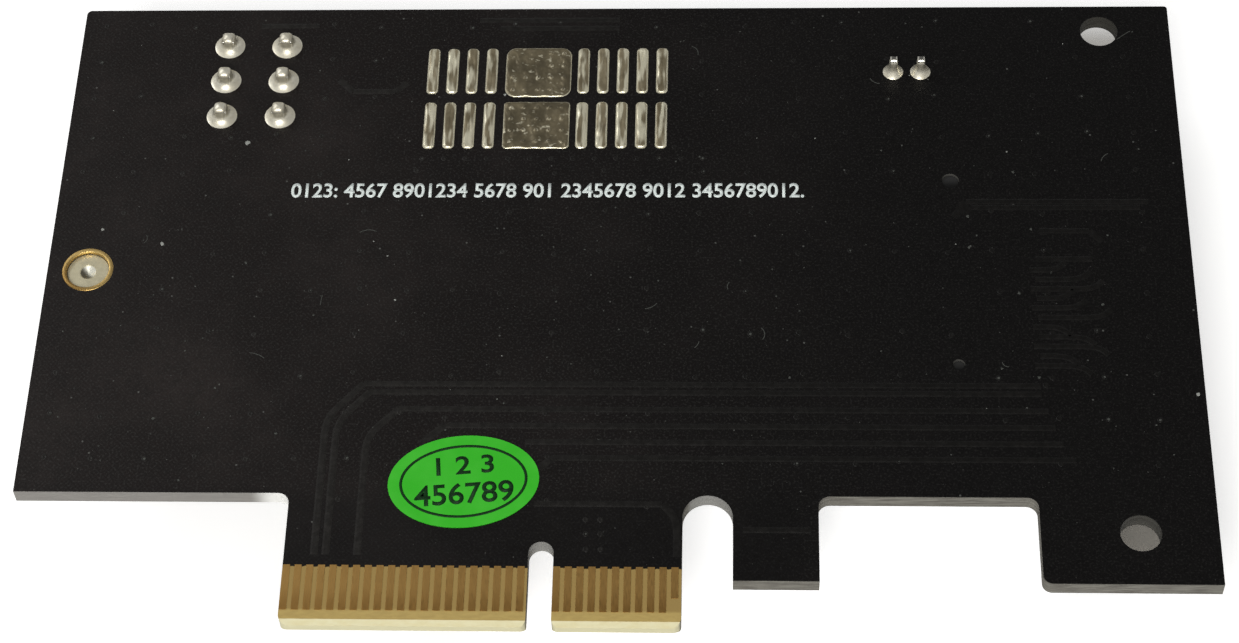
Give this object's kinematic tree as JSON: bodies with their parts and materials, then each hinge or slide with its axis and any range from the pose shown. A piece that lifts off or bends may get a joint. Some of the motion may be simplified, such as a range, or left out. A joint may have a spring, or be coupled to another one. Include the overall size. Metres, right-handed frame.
{
  "type": "drive adapter card",
  "caption": "Short plug-in adapter card with a gold edge contact tab, a keyed socket and threaded standoff for a stick-type drive, a power header and bracket holes.",
  "frame": {"origin": "middle of the key notch on the lower edge of the contact tab, half way through the laminate", "axes": "+X towards the bracket edge, +Y up the card away from the slot, +Z out of the solder side"},
  "size_m": [0.1033, 0.0666, 0.0144],
  "materials": {
    "solder_mask": "satin",
    "gold_contact": "satin",
    "tin": "satin",
    "bright_solder": "bright",
    "gold_ring": "satin",
    "standoff_metal": "satin",
    "black_housing": "matte",
    "socket_housing": "matte",
    "spring_metal": "bright",
    "tinned_leads": "satin",
    "pin_metal": "bright",
    "gold_pins": "bright",
    "can_aluminium": "satin",
    "capacitor_base": "matte",
    "mould_compound": "matte",
    "ferrite": "matte",
    "ceramic_tan": "matte",
    "resistor_body": "gloss",
    "lamp_lens": "gloss",
    "green_label": "satin"
  },
  "bodies": {
    "root": {"circuit_board": "solder_mask", "edge_contacts_back": "gold_contact", "edge_contacts_front": "gold_contact", "tinned_bars": "tin", "thermal_pads": "tin", "standoff_ring": "gold_ring", "ssd_standoff": "standoff_metal", "ssd_socket_housing": "socket_housing", "ssd_socket_upper_contacts": "spring_metal", "ssd_socket_lower_contacts": "spring_metal", "ssd_socket_hold_downs": "tinned_leads", "power_header_housing": "black_housing", "power_header_pins": "pin_metal", "power_header_solder": "bright_solder", "led_header_base": "black_housing", "led_header_pins": "gold_pins", "led_header_solder": "bright_solder", "capacitor_bases": "capacitor_base", "capacitor_cans": "can_aluminium", "capacitor_terminals": "tinned_leads", "transistor_bodies": "mould_compound", "transistor_tabs": "tinned_leads", "transistor_leads": "tinned_leads", "inductor_core": "ferrite", "inductor_terminals": "tinned_leads", "controller_body": "mould_compound", "controller_leads": "tinned_leads", "chip_capacitors": "ceramic_tan", "chip_capacitor_ends": "tinned_leads", "coupling_capacitors": "ceramic_tan", "coupling_capacitor_ends": "tinned_leads", "chip_resistors": "resistor_body", "chip_resistor_ends": "tinned_leads", "activity_led": "lamp_lens", "activity_led_ends": "tinned_leads", "inspection_sticker": "green_label"}
  },
  "joints": []
}
